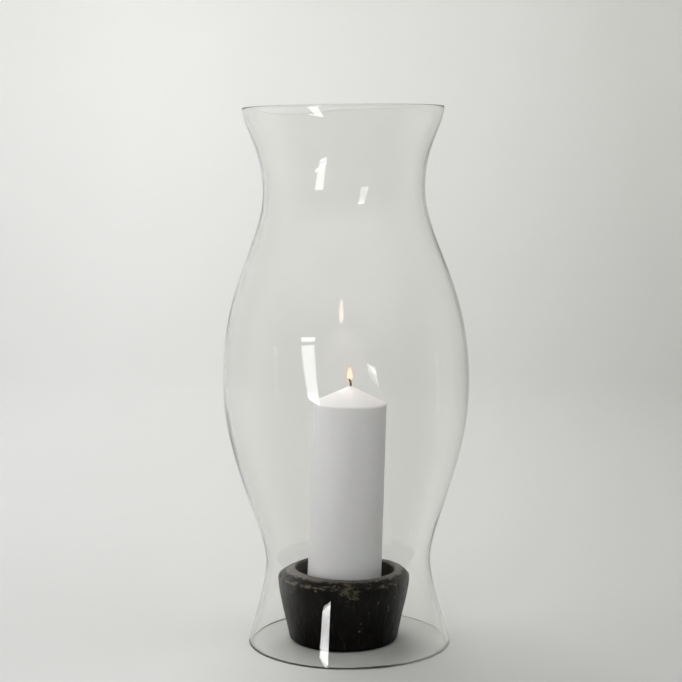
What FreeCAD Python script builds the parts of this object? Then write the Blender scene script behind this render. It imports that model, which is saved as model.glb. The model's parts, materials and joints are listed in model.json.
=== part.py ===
import FreeCAD, Part
import math
import os

# Hurricane candle lantern: a clear blown-glass chimney, open at both ends, that stands on the table around
# a dark wooden cup with a white pillar candle in it. Millimetres, +Z up.
# The origin is on the table, under the middle of the glass's belly. The viewer is on the -Y side.

Vector = FreeCAD.Vector
Z_AXIS = Vector(0, 0, 1)
Y_AXIS = Vector(0, 1, 0)
ORIGIN = Vector(0, 0, 0)

# How near two places lie when they are the same place
TOUCH = 0.001

# Candle: a standard pillar, sold as 70 mm by 200 mm, which measures a little less across
CANDLE_HEIGHT = 200.0
CANDLE_BASE_DIAMETER = 68.6
CANDLE_TOP_DIAMETER = 67.0
CANDLE_CONE_HEIGHT = 15.4
CANDLE_SHOULDER_ROUND = 1.6
CANDLE_BASE_ROUND = 1.0
CANDLE_LEAN_DEGREES = 1.8

# Wick: a round braid, burnt down to a short end that curls over to the left
WICK_DIAMETER = 2.2
WICK_STRAIGHT_ABOVE_WAX = 2.4
WICK_CURL_RADIUS = 9.0
WICK_CURL_DEGREES = 40.0
WICK_CLEARANCE = 0.1

# Wick sustainer: a pressed disc with a collar that is crimped on the foot of the wick
SUSTAINER_DIAMETER = 19.0
SUSTAINER_THICKNESS = 0.5
COLLAR_HEIGHT = 7.0
COLLAR_WALL = 0.6
SUSTAINER_CLEARANCE = 0.2
SUSTAINER_ABOVE_BASE = 0.3

# Cup: a tapered block with a rolled-over rim, bored for the candle with room around it
CUP_FLOOR = 37.2
CUP_BORE_DEPTH = 29.8
CUP_BORE_GAP = 11.4
CUP_RIM_LAND = 3.4
CUP_RIM_ROLL = 11.7
CUP_RIM_DROP = 8.0
CUP_TAPER = 10.8
CUP_BASE_ROUND = 4.0
CUP_BORE_EDGE_ROUND = 1.4
CUP_BORE_FLOOR_ROUND = 3.0

# Where the cup stands, off the middle of the glass
CUP_OFFSET_X = -2.2
CUP_OFFSET_Y = 5.0

# Glass: its outer diameters from the table up, and the heights at which they lie
GLASS_HEIGHT = 490.0
GLASS_WALL = 2.5
FOOT_DIAMETER = 186.2
WAIST_GAP = 12.3
WAIST_HEIGHT = 76.0
BELLY_DIAMETER = 224.8
BELLY_HEIGHT = 241.5
NECK_DIAMETER = 146.4
NECK_BELOW_TOP = 73.3
RIM_DIAMETER = 182.0
RIM_FLARE_DEGREES = 8.5
FOOT_FLARE_DEGREES = 10.4
GLASS_LEAN_DEGREES = 0.65
FOOT_ALLOWANCE = 2.0

# How far each sweep of the glass keeps its direction, as a share of the height that it spans
RIM_SWEEP = 0.27
NECK_SWEEP_UP = 0.61
NECK_SWEEP_DOWN = 0.28
BELLY_SWEEP_UP = 0.53
BELLY_SWEEP_DOWN = 0.45
WAIST_SWEEP_UP = 0.21
WAIST_SWEEP_DOWN = 0.58
FOOT_SWEEP = 0.40

# The same for the cup's side, below its rim and above its base
CUP_SHOULDER_SWEEP = 0.20
CUP_BASE_SWEEP = 0.34

# Share of a quarter circle's radius at which a curve's handle rounds it
QUARTER_ROUND = 0.5523

# Sizes that follow from the ones above
candle_base_radius = CANDLE_BASE_DIAMETER / 2
candle_top_radius = CANDLE_TOP_DIAMETER / 2
candle_shoulder_height = CANDLE_HEIGHT - CANDLE_CONE_HEIGHT
wick_radius = WICK_DIAMETER / 2
wick_bore_radius = wick_radius + WICK_CLEARANCE
collar_radius = wick_bore_radius + COLLAR_WALL
sustainer_radius = SUSTAINER_DIAMETER / 2
sustainer_top = SUSTAINER_ABOVE_BASE + SUSTAINER_THICKNESS
collar_top = sustainer_top + COLLAR_HEIGHT
cup_height = CUP_FLOOR + CUP_BORE_DEPTH
cup_bore_radius = candle_base_radius + CUP_BORE_GAP
cup_crest_radius = cup_bore_radius + CUP_RIM_LAND
cup_radius = cup_crest_radius + CUP_RIM_ROLL
cup_base_radius = cup_radius - CUP_TAPER
cup_side_height = cup_height - CUP_RIM_DROP
waist_radius = cup_radius + WAIST_GAP + GLASS_WALL
belly_radius = BELLY_DIAMETER / 2
neck_radius = NECK_DIAMETER / 2
rim_radius = RIM_DIAMETER / 2
foot_radius = FOOT_DIAMETER / 2
neck_height = GLASS_HEIGHT - NECK_BELOW_TOP
glass_lean = math.radians(GLASS_LEAN_DEGREES)
belly_shift = BELLY_HEIGHT * math.sin(glass_lean)
foot_grinding = FOOT_ALLOWANCE + foot_radius * math.tan(glass_lean)


def point(radius, height):
    """A point of a turned outline, in the XZ plane."""
    return Vector(radius, 0, height)


def line(start, end):
    return Part.LineSegment(start, end).toShape()


def arc(start, middle, end):
    return Part.Arc(start, middle, end).toShape()


def sweep(start, start_handle, end_handle, end):
    """A smooth curve that leaves and arrives along its two handles."""
    curve = Part.BezierCurve()
    curve.setPoles([start, start_handle, end_handle, end])
    return curve.toShape()


def turned(edges):
    """A closed outline, turned about the Z axis into a solid."""
    outline = Part.Wire(Part.__sortEdges__(edges))
    return Part.Solid(Part.Face(outline).revolve(ORIGIN, Z_AXIS, 360))


def turned_polygon(points):
    """A solid turned from an outline of straight runs."""
    ends = points[1:] + points[:1]
    return turned([line(start, end) for start, end in zip(points, ends)])


def drum(radius, bottom, top):
    """A plain cylinder about the Z axis."""
    return Part.makeCylinder(radius, top - bottom, Vector(0, 0, bottom))


def edges_at(shape, radius, height):
    """The ring of a turned solid that passes through one point of its outline."""
    centre = Vector(0, 0, height)
    length = 2 * math.pi * radius
    return [
        edge for edge in shape.Edges
        if edge.CenterOfMass.isEqual(centre, TOUCH) and abs(edge.Length - length) < TOUCH
    ]


def seat():
    """Where the candle stands: on the floor of the cup's bore, leaning with the bore to the right."""
    place = Vector(CUP_OFFSET_X, CUP_OFFSET_Y, CUP_FLOOR)
    return FreeCAD.Placement(place, FreeCAD.Rotation(Y_AXIS, CANDLE_LEAN_DEGREES))


def placed(shape, placement):
    """A copy of a shape with a placement worked into its geometry."""
    return shape.transformed(placement.toMatrix())


def glass_wall(inset, top):
    """One face of the glass from the top down to below the foot, set in from the outer face by inset."""
    rim = point(rim_radius - inset, top)
    neck = point(neck_radius - inset, neck_height)
    belly = point(belly_radius - inset, BELLY_HEIGHT)
    waist = point(waist_radius - inset, WAIST_HEIGHT)
    foot = point(foot_radius - inset, 0)
    flare_in = point(-math.tan(math.radians(RIM_FLARE_DEGREES)), -1)
    foot_in = point(-math.tan(math.radians(FOOT_FLARE_DEGREES)), 1)
    rim_span = top - neck_height
    upper_span = neck_height - BELLY_HEIGHT
    lower_span = BELLY_HEIGHT - WAIST_HEIGHT
    below_foot = foot - foot_in * foot_grinding
    edges = [
        sweep(rim, rim + flare_in * rim_span * RIM_SWEEP, neck + Z_AXIS * rim_span * NECK_SWEEP_UP, neck),
        sweep(neck, neck - Z_AXIS * upper_span * NECK_SWEEP_DOWN,
              belly + Z_AXIS * upper_span * BELLY_SWEEP_UP, belly),
        sweep(belly, belly - Z_AXIS * lower_span * BELLY_SWEEP_DOWN,
              waist + Z_AXIS * lower_span * WAIST_SWEEP_UP, waist),
        sweep(waist, waist - Z_AXIS * WAIST_HEIGHT * WAIST_SWEEP_DOWN,
              foot + foot_in * WAIST_HEIGHT * FOOT_SWEEP, foot),
        line(foot, below_foot),
    ]
    return edges, rim, below_foot


def make_glass_shade():
    """Blown glass with a fire-polished lip. It leans a little, and its foot is ground flat to the table."""
    lip_start = GLASS_HEIGHT - GLASS_WALL / 2
    outer_edges, outer_rim, outer_end = glass_wall(0, lip_start)
    inner_edges, inner_rim, inner_end = glass_wall(GLASS_WALL, lip_start)
    lip_top = point(rim_radius - GLASS_WALL / 2, GLASS_HEIGHT)
    lip = arc(outer_rim, lip_top, inner_rim)
    blank = turned(outer_edges + inner_edges + [lip, line(outer_end, inner_end)])
    lean = FreeCAD.Placement(Vector(belly_shift, 0, 0), FreeCAD.Rotation(Y_AXIS, -GLASS_LEAN_DEGREES))
    leaning = placed(blank, lean)
    grinding_reach = foot_radius + foot_grinding + belly_shift
    return leaning.cut(drum(grinding_reach, -2 * foot_grinding, 0))


def make_candle_holder():
    """The cup: a tapered side, a rim that rolls over outwards, and a bore that runs a little out of true."""
    crest = point(cup_crest_radius, cup_height)
    shoulder = point(cup_radius, cup_side_height)
    base = point(cup_base_radius, 0)
    block = turned([
        line(ORIGIN, point(0, cup_height)),
        line(point(0, cup_height), crest),
        sweep(crest, crest + point(CUP_RIM_ROLL * QUARTER_ROUND, 0),
              shoulder + Z_AXIS * CUP_RIM_DROP * QUARTER_ROUND, shoulder),
        sweep(shoulder, shoulder - Z_AXIS * cup_side_height * CUP_SHOULDER_SWEEP,
              base + (shoulder - base) * CUP_BASE_SWEEP, base),
        line(base, ORIGIN),
    ])
    block = block.makeFillet(CUP_BASE_ROUND, edges_at(block, cup_base_radius, 0))
    bore = drum(cup_bore_radius, 0, cup_height)
    bore = bore.makeFillet(CUP_BORE_FLOOR_ROUND, edges_at(bore, cup_bore_radius, 0))
    stand = FreeCAD.Placement(Vector(CUP_OFFSET_X, CUP_OFFSET_Y, 0), FreeCAD.Rotation())
    cup = placed(block, stand).cut(placed(bore, seat()))
    top_face = max((face for face in cup.Faces if face.Surface.TypeId == "Part::GeomPlane"),
                   key=lambda face: face.CenterOfMass.z)
    mouth = min(top_face.Edges, key=lambda edge: edge.Length)
    return cup.makeFillet(CUP_BORE_EDGE_ROUND, [mouth])


def make_candle():
    """The wax pillar: a slight draft, a conical top, a hole for the wick and a recess for the sustainer."""
    body = turned_polygon([
        ORIGIN,
        point(candle_base_radius, 0),
        point(candle_top_radius, candle_shoulder_height),
        point(0, CANDLE_HEIGHT),
    ])
    shoulder = edges_at(body, candle_top_radius, candle_shoulder_height)
    body = body.makeFillet(CANDLE_SHOULDER_ROUND, shoulder)
    body = body.makeFillet(CANDLE_BASE_ROUND, edges_at(body, candle_base_radius, 0))
    hollows = [
        drum(wick_bore_radius, 0, CANDLE_HEIGHT),
        drum(sustainer_radius + SUSTAINER_CLEARANCE, 0, sustainer_top),
        drum(collar_radius + SUSTAINER_CLEARANCE, 0, collar_top + SUSTAINER_CLEARANCE),
    ]
    for hollow in hollows:
        body = body.cut(hollow)
    return body


def make_wick():
    """The wick: straight up through the wax from the sustainer, then curling over to the left."""
    curl_start = CANDLE_HEIGHT + WICK_STRAIGHT_ABOVE_WAX
    stem = drum(wick_radius, SUSTAINER_ABOVE_BASE, curl_start)
    end_face = Part.Face(Part.Wire(Part.makeCircle(wick_radius, Vector(0, 0, curl_start))))
    curl_centre = Vector(-WICK_CURL_RADIUS, 0, curl_start)
    curl = Part.Solid(end_face.revolve(curl_centre, -Y_AXIS, WICK_CURL_DEGREES))
    return stem.fuse(curl).removeSplitter()


def make_wick_sustainer():
    """The disc and its collar, pressed from one piece of tinned steel, with the wick's hole through both."""
    disc = drum(sustainer_radius, SUSTAINER_ABOVE_BASE, sustainer_top)
    collar = drum(collar_radius, SUSTAINER_ABOVE_BASE, collar_top)
    hole = drum(wick_bore_radius, 0, collar_top)
    return disc.fuse(collar).cut(hole).removeSplitter()


parts = {
    "glass_shade": make_glass_shade(),
    "candle_holder": make_candle_holder(),
    "candle": placed(make_candle(), seat()),
    "wick": placed(make_wick(), seat()),
    "wick_sustainer": placed(make_wick_sustainer(), seat()),
}

os.makedirs("parts", exist_ok=True)
for name, shape in parts.items():
    box = shape.BoundBox
    print(name, "valid", shape.isValid(), "solids", len(shape.Solids), "volume", round(shape.Volume / 1000, 2),
          "cm3, from", [round(v, 2) for v in (box.XMin, box.YMin, box.ZMin)],
          "to", [round(v, 2) for v in (box.XMax, box.YMax, box.ZMax)])
    shape.exportStep("parts/" + name + ".step")
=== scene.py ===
# %% [markdown]
# # A hurricane candle lantern
# A clear glass chimney, blown by hand, stands on the table around a dark wooden cup with a white pillar
# candle in it. This lesson dresses the solids of the lantern: the glass, the cup, the candle and the
# wick are modelled again with the unevenness of hand work, and the flame, which is no solid at all, is
# added. The solids come first, as a fixed frame. Everything is in metres, with the table at height 0.

# %% Load the frame
import json
import math

import bmesh
import bpy
from mathutils import Matrix, Vector, noise


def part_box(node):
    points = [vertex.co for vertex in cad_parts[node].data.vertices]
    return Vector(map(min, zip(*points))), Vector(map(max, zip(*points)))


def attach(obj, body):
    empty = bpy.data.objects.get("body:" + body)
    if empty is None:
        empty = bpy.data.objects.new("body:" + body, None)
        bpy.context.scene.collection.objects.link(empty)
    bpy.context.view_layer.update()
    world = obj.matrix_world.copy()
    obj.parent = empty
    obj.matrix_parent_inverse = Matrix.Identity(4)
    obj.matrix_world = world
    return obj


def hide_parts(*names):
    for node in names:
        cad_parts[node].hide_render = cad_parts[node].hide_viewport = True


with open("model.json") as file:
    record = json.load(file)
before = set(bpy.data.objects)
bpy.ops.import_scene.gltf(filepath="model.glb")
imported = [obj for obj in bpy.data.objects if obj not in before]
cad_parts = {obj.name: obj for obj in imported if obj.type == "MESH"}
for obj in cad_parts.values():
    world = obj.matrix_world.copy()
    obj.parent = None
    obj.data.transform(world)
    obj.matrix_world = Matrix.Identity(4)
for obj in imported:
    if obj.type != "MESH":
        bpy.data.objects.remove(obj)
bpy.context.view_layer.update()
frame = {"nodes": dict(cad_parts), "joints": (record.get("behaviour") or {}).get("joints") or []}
lift_axes = {joint["name"]: Vector(joint["axis"]) for joint in frame["joints"]}
print("solids:", sorted(frame["nodes"]))

# %% [markdown]
# ## Tools for turned pieces
# Glass, cup and candle are all round about an axis, because they were blown, turned or cast. A potter's
# way suits them: draw half of the outline as a Bezier curve, make it a mesh, and spin it. The curve
# keeps the sweeps smooth with only a few knots. Operators act on whatever is selected, so every tool
# starts by clearing the selection.

# %% Tools for modelling
WELD = 1e-6


def clear_selection():
    """Back to object mode with nothing selected."""
    if bpy.context.object and bpy.context.object.mode != "OBJECT":
        bpy.ops.object.mode_set(mode="OBJECT")
    bpy.ops.object.select_all(action="DESELECT")


def take(piece):
    """Makes one piece the selected and active object."""
    clear_selection()
    piece.select_set(True)
    bpy.context.view_layer.objects.active = piece


def pick(piece, kind, test):
    """In edit mode, selects the points, edges or faces whose corners all pass the test, and counts them."""
    bpy.ops.mesh.select_mode(type=kind)
    bpy.ops.mesh.select_all(action="DESELECT")
    shape = bmesh.from_edit_mesh(piece.data)
    items = {"VERT": shape.verts, "EDGE": shape.edges, "FACE": shape.faces}[kind]
    count = 0
    for item in items:
        corners = [item] if kind == "VERT" else item.verts
        if all(test(corner.co) for corner in corners):
            item.select_set(True)
            count += 1
    bmesh.update_edit_mesh(piece.data)
    return count


def knot(radius, height, before=(0, 0), after=(0, 0)):
    """One knot of an outline, with the reach of its two handles. No reach gives a straight run."""
    place = Vector((radius, 0, height))
    return place, place + Vector((before[0], 0, before[1])), place + Vector((after[0], 0, after[1]))


def turn(name, knots, steps, span_points):
    """Draws an outline in the XZ plane, makes it a mesh and spins it about the Z axis."""
    clear_selection()
    bpy.ops.curve.primitive_bezier_curve_add(location=(0, 0, 0))
    outline = bpy.context.object
    outline.name = name
    outline.data.name = name
    outline.data.resolution_u = span_points
    spline = outline.data.splines[0]
    spline.bezier_points.add(len(knots) - len(spline.bezier_points))
    for point, (place, handle_before, handle_after) in zip(spline.bezier_points, knots):
        point.handle_left_type = "FREE"
        point.handle_right_type = "FREE"
        point.co = place
        point.handle_left = handle_before
        point.handle_right = handle_after
    bpy.ops.object.convert(target="MESH")
    bpy.ops.object.mode_set(mode="EDIT")
    bpy.ops.mesh.select_all(action="SELECT")
    bpy.ops.mesh.spin(steps=steps, angle=math.tau, center=(0, 0, 0), axis=(0, 0, 1))
    bpy.ops.mesh.select_all(action="SELECT")
    bpy.ops.mesh.remove_doubles(threshold=WELD)
    bpy.ops.mesh.normals_make_consistent(inside=False)
    bpy.ops.object.mode_set(mode="OBJECT")
    return bpy.context.object


def apply_modifier(piece, kind, **settings):
    """Adds a modifier with its settings and applies it."""
    take(piece)
    modifier = piece.modifiers.new(kind.title(), kind)
    for name, value in settings.items():
        setattr(modifier, name, value)
    bpy.ops.object.modifier_apply(modifier=modifier.name)


def fade(value, start, end):
    """A smooth step from 0 at start to 1 at end."""
    share = min(1.0, max(0.0, (value - start) / (end - start)))
    return share * share * (3 - 2 * share)


def set_down(piece, place, lean):
    """Leans a finished piece about the Y axis, puts it in its place and works both into its mesh."""
    take(piece)
    piece.location = place
    piece.rotation_euler = (0, lean, 0)
    bpy.ops.object.transform_apply(location=True, rotation=True, scale=True)


def report(piece):
    """Prints the size of a finished piece."""
    corners = [Vector(corner) for corner in piece.bound_box]
    low = [round(min(corner[axis] for corner in corners), 4) for axis in range(3)]
    high = [round(max(corner[axis] for corner in corners), 4) for axis in range(3)]
    print(piece.name, len(piece.data.polygons), "faces, from", low, "to", high)


print("tools are ready, and points closer than", WELD, "m are welded")

# %% [markdown]
# ## Tools for finishes
# A material here is a small tree of nodes. One function adds a node with its settings and its links,
# and another turns a colour as a painter writes it, an sRGB hex value, into the linear light that a
# shader works with.

# %% Tools for materials
MM = 0.001


def hex_color(code):
    """An sRGB hex value as linear red, green, blue and alpha."""
    parts = [int(code[start:start + 2], 16) / 255 for start in (1, 3, 5)]
    linear = [part / 12.92 if part <= 0.04045 else ((part + 0.055) / 1.055) ** 2.4 for part in parts]
    return (*linear, 1.0)


def per_metre(size_mm):
    """The scale of a pattern whose marks are this many millimetres apart."""
    return 1 / (size_mm * MM)


def new_material(name):
    """An empty material, ready for its nodes."""
    material = bpy.data.materials.new(name)
    material.use_nodes = True
    material.node_tree.nodes.clear()
    return material


def add(material, kind, inputs=None, **settings):
    """Adds a node. Inputs are plain values, or outputs of other nodes, which are linked."""
    made = material.node_tree.nodes.new(kind)
    for name, value in settings.items():
        setattr(made, name, value)
    for name, value in (inputs or {}).items():
        if isinstance(value, bpy.types.NodeSocket):
            material.node_tree.links.new(value, made.inputs[name])
        else:
            made.inputs[name].default_value = value
    return made


def dress(piece, material):
    """Gives a piece its one material."""
    piece.data.materials.clear()
    piece.data.materials.append(material)
    print(piece.name, "wears", material.name, "made of", len(material.node_tree.nodes), "nodes")


print("a middle grey as linear light:", round(hex_color("#808080")[0], 3))

# %% [markdown]
# ## The glass chimney
# The chimney is one bubble of clear glass, drawn in at the waist and the neck, opened at the rim and
# ground flat at the foot. Lofting rings would need many of them, but six knots with long handles give
# the same sweep as a glassblower's jacks do. The outer face is spun, a wall is grown inwards, the whole
# is leaned as the real one leans, and the foot is cut level with the table.

# %% Blow the glass
GLASS_HEIGHT = 0.490
GLASS_WALL = 0.0025
LIP_WALL = 0.0012
LIP_TAPER = 0.060
GLASS_LEAN = math.radians(0.65)
FOOT_RADIUS = 0.0931
WAIST_RADIUS = 0.0756
WAIST_HEIGHT = 0.0760
BELLY_RADIUS = 0.1124
BELLY_HEIGHT = 0.2415
NECK_RADIUS = 0.0732
NECK_HEIGHT = 0.4167
RIM_RADIUS = 0.0910
FOOT_ALLOWANCE = 0.003
RIM_FLARE = math.tan(math.radians(5.0))
FOOT_FLARE = math.tan(math.radians(16.0))
# How far the handles reach into the span below or above their knot
FOOT_UP = 0.50
WAIST_DOWN = 0.20
WAIST_UP = 0.21
BELLY_DOWN = 0.45
BELLY_UP = 0.53
NECK_DOWN = 0.28
NECK_UP = 0.54
RIM_DOWN = 0.30
GLASS_STEPS = 192
GLASS_SPAN_POINTS = 26

rim_span = GLASS_HEIGHT - NECK_HEIGHT
upper_span = NECK_HEIGHT - BELLY_HEIGHT
lower_span = BELLY_HEIGHT - WAIST_HEIGHT
foot_reach = FOOT_UP * WAIST_HEIGHT
rim_reach = RIM_DOWN * rim_span
glass_shade = turn("glass_chimney", [
    knot(FOOT_RADIUS + FOOT_FLARE * FOOT_ALLOWANCE, -FOOT_ALLOWANCE),
    knot(FOOT_RADIUS, 0, after=(-FOOT_FLARE * foot_reach, foot_reach)),
    knot(WAIST_RADIUS, WAIST_HEIGHT,
         before=(0, -WAIST_DOWN * WAIST_HEIGHT), after=(0, WAIST_UP * lower_span)),
    knot(BELLY_RADIUS, BELLY_HEIGHT, before=(0, -BELLY_DOWN * lower_span), after=(0, BELLY_UP * upper_span)),
    knot(NECK_RADIUS, NECK_HEIGHT, before=(0, -NECK_DOWN * upper_span), after=(0, NECK_UP * rim_span)),
    knot(RIM_RADIUS, GLASS_HEIGHT, before=(-RIM_FLARE * rim_reach, -rim_reach)),
], GLASS_STEPS, GLASS_SPAN_POINTS)
apply_modifier(glass_shade, "SOLIDIFY", thickness=GLASS_WALL, offset=-1, use_even_offset=True)

# The wall is drawn thin towards the rim. Solidify lists the outer points first, then the inner ones.
points = glass_shade.data.vertices
outer_count = len(points) // 2
for outer, inner in zip(points[:outer_count], points[outer_count:]):
    thinned = fade(outer.co.z, GLASS_HEIGHT - LIP_TAPER, GLASS_HEIGHT) * (1 - LIP_WALL / GLASS_WALL)
    inner.co = inner.co.lerp(outer.co, thinned)
report(glass_shade)

# %% [markdown]
# The rim of blown glass is melted smooth in the flame, so its two edges are bevelled into a round lip.
# The foot is ground on a flat wheel, so it is cut straight at the table after the lean, and the cut is
# closed by bridging its outer and inner edge.

# %% Melt the rim and grind the foot
LIP_ROUND = 0.00054
LIP_SEGMENTS = 4
RIM_REACH = 0.0012
BELLY_SHIFT = BELLY_HEIGHT * math.sin(GLASS_LEAN)

take(glass_shade)
bpy.ops.object.mode_set(mode="EDIT")
lip_edges = pick(glass_shade, "EDGE", lambda place: place.z > GLASS_HEIGHT - RIM_REACH)
shape = bmesh.from_edit_mesh(glass_shade.data)
for edge in shape.edges:
    across = edge.verts[0].co.xy.length - edge.verts[1].co.xy.length
    if edge.select and abs(across) > GLASS_WALL / 4:
        edge.select_set(False)
bmesh.update_edit_mesh(glass_shade.data)
bpy.ops.mesh.bevel(offset=LIP_ROUND, segments=LIP_SEGMENTS, affect="EDGES")
set_down(glass_shade, (BELLY_SHIFT, 0, 0), -GLASS_LEAN)
bpy.ops.object.mode_set(mode="EDIT")
bpy.ops.mesh.select_all(action="SELECT")
bpy.ops.mesh.bisect(plane_co=(0, 0, 0), plane_no=(0, 0, 1), clear_inner=True)
foot_edges = pick(glass_shade, "EDGE", lambda place: abs(place.z) < WELD)
bpy.ops.mesh.bridge_edge_loops()
bpy.ops.mesh.select_all(action="SELECT")
bpy.ops.mesh.normals_make_consistent(inside=False)
bpy.ops.object.mode_set(mode="OBJECT")
print("lip edges", lip_edges, "foot edges", foot_edges)
report(glass_shade)

# %% [markdown]
# ## The unevenness of hand-blown glass
# No two blown chimneys are alike. This one dips at the back left of its rim, is a little flat at the
# back, and its wall is never quite even, so what shows through it sways a little. The dip is pulled
# with proportional editing, which carries the neighbours along. The flat is too broad for that, so its
# points are moved by a formula. A soft cloud texture moves the faces by fractions of a millimetre. The
# foot rests on the table, apart from nibbles in its edge.

# %% Make the glass uneven
DIP_DEPTH = 0.0048
DIP_REACH = 0.050
DIP_BEARING = math.radians(127)
FLAT_LOW = 0.245
FLAT_HIGH = 0.335
FLAT_DEPTH = 0.0008
WAVE_SIZE = 0.070
WAVE_DEPTH = 0.0002
MIDDLE_GREY = 0.5
GLASS_SMOOTH_ANGLE = math.radians(40)
NIBBLE_SIZE = 0.006
NIBBLE_START = 0.25
NIBBLE_DEPTH = 0.0016
NIBBLE_WORST_DEPTH = 0.0050
NIBBLE_WORST_BEARING = math.radians(48)

dip_place = Vector((
    RIM_RADIUS * math.cos(DIP_BEARING), RIM_RADIUS * math.sin(DIP_BEARING), GLASS_HEIGHT,
))
take(glass_shade)
bpy.ops.object.mode_set(mode="EDIT")
dip_points = pick(glass_shade, "VERT", lambda place: (place - dip_place).length < DIP_REACH / 4)
bpy.ops.transform.translate(
    value=(0, 0, -DIP_DEPTH), use_proportional_edit=True,
    proportional_edit_falloff="SMOOTH", proportional_size=DIP_REACH,
)
bpy.ops.object.mode_set(mode="OBJECT")

for vertex in glass_shade.data.vertices:
    rise = min(1.0, max(0.0, (vertex.co.z - FLAT_LOW) / (FLAT_HIGH - FLAT_LOW)))
    outwards = vertex.co.xy.normalized()
    share = max(0.0, outwards.y) ** 2 * math.sin(math.pi * rise) ** 2
    vertex.co.xy -= outwards * share * FLAT_DEPTH

waves = bpy.data.textures.new("glass_waves", "CLOUDS")
waves.noise_scale = WAVE_SIZE
waves.noise_depth = 1
apply_modifier(glass_shade, "DISPLACE", texture=waves, strength=WAVE_DEPTH, mid_level=MIDDLE_GREY)
worst = Vector((math.cos(NIBBLE_WORST_BEARING), math.sin(NIBBLE_WORST_BEARING)))
for vertex in glass_shade.data.vertices:
    if vertex.co.z < WAVE_DEPTH:
        share = max(0.0, vertex.co.xy.normalized().dot(worst)) ** 4
        nibble = max(0.0, noise.noise(vertex.co / NIBBLE_SIZE) - NIBBLE_START)
        vertex.co.z = nibble * (NIBBLE_DEPTH + share * (NIBBLE_WORST_DEPTH - NIBBLE_DEPTH))
take(glass_shade)
bpy.ops.object.shade_smooth_by_angle(angle=GLASS_SMOOTH_ANGLE)
print("dip points", dip_points)
report(glass_shade)

# %% [markdown]
# ## The finish of the glass
# Soda-lime glass, blown and fire-polished: clear, with the least breath of grey-green, and as smooth as
# a liquid. It bends light (IOR 1.52) and mirrors the lamps. The ground foot is frosted and passes
# little light, and its grey tint is painted shade: the dark line where the foot meets the table. A
# transparent shader for shadow rays lets the lamps shine through the wall, as they do through a real
# one, without waiting for the renderer to find those paths by chance.

# %% Clear soda-lime glass
RIPPLE_MM = 34
RIPPLE_HEIGHT = 0.001
SMEAR_MM = 60
SMEAR_ROUGHNESS = 0.03
GROUND_HEIGHT = 0.0010
GLASS_IOR = 1.52

clear_glass = new_material("soda_lime_glass")
place = add(clear_glass, "ShaderNodeTexCoord")
ripple = add(clear_glass, "ShaderNodeTexNoise", {
    "Vector": place.outputs["Object"], "Scale": per_metre(RIPPLE_MM), "Detail": 1.0,
})
bump = add(clear_glass, "ShaderNodeBump", {
    "Strength": 0.02, "Distance": RIPPLE_HEIGHT, "Height": ripple.outputs["Fac"],
})
smear = add(clear_glass, "ShaderNodeTexNoise", {
    "Vector": place.outputs["Object"], "Scale": per_metre(SMEAR_MM), "Detail": 3.0,
})
polish = add(clear_glass, "ShaderNodeMapRange", {
    "Value": smear.outputs["Fac"], "From Min": 0.45, "From Max": 0.75, "To Max": SMEAR_ROUGHNESS,
})
parts = add(clear_glass, "ShaderNodeSeparateXYZ", {"Vector": place.outputs["Object"]})
frosted_foot_and_shade = add(clear_glass, "ShaderNodeMapRange", {
    "Value": parts.outputs["Z"], "From Min": GROUND_HEIGHT, "From Max": GROUND_HEIGHT / 2,
})
matt = add(clear_glass, "ShaderNodeMath", {
    0: frosted_foot_and_shade.outputs["Result"], 1: polish.outputs["Result"],
}, operation="MAXIMUM")
# Painted shade: the frosted foot is tinted grey to draw the dark line where the glass meets the table.
tint = add(clear_glass, "ShaderNodeMix", {
    0: frosted_foot_and_shade.outputs["Result"], 6: hex_color("#fdfdfc"), 7: hex_color("#a8a8a4"),
}, data_type="RGBA")
body = add(clear_glass, "ShaderNodeBsdfPrincipled", {
    "Base Color": tint.outputs[2], "Roughness": matt.outputs["Value"], "IOR": GLASS_IOR,
    "Transmission Weight": 1.0, "Normal": bump.outputs["Normal"],
})
passed = add(clear_glass, "ShaderNodeMix", {
    0: frosted_foot_and_shade.outputs["Result"], 6: hex_color("#fdfdfc"), 7: hex_color("#606060"),
}, data_type="RGBA")
clear = add(clear_glass, "ShaderNodeBsdfTransparent", {"Color": passed.outputs[2]})
rays = add(clear_glass, "ShaderNodeLightPath")
blend = add(clear_glass, "ShaderNodeMixShader", {
    "Fac": rays.outputs["Is Shadow Ray"], 1: body.outputs["BSDF"], 2: clear.outputs["BSDF"],
})
add(clear_glass, "ShaderNodeOutputMaterial", {"Surface": blend.outputs["Shader"]})
dress(glass_shade, clear_glass)
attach(glass_shade, "shade")
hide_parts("glass_shade")

# %% [markdown]
# ## The cup
# The cup is one block of wood: a tapered side, a broad rim that rolls over outwards, and a bore for the
# candle that runs a little out of true, which is why the candle leans. The block and the bore are
# turned apart, each about its own axis, and their open edges are bridged, so that the rim joins a
# straight outside to a leaning inside.

# %% Turn the cup
cup_low, cup_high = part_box("candle_holder")
CUP_PLACE = Vector(((cup_low.x + cup_high.x) / 2, (cup_low.y + cup_high.y) / 2, 0))
CUP_RADIUS = (cup_high.x - cup_low.x) / 2
CUP_HEIGHT = cup_high.z
CUP_FLOOR = 0.0372
CUP_BORE_RADIUS = 0.0457
CUP_CREST_RADIUS = 0.0491
CUP_CREASE_RADIUS = 0.0600
CUP_CREASE_DROP = 0.0054
CUP_CREASE_ROUND = 0.0016
CUP_RIM_DROP = 0.008
CUP_BASE_RADIUS = 0.0500
CUP_BASE_ROUND = 0.004
CUP_FLOOR_ROUND = 0.003
CUP_MOUTH_ROUND = 0.0014
QUARTER_ROUND = 0.5523
BASE_UP = 0.34
SIDE_DOWN = 0.2
CREASE_LEAN = 0.7
CREST_OUT = 0.5
CUP_STEPS = 320
CUP_SPAN_POINTS = 22

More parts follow.
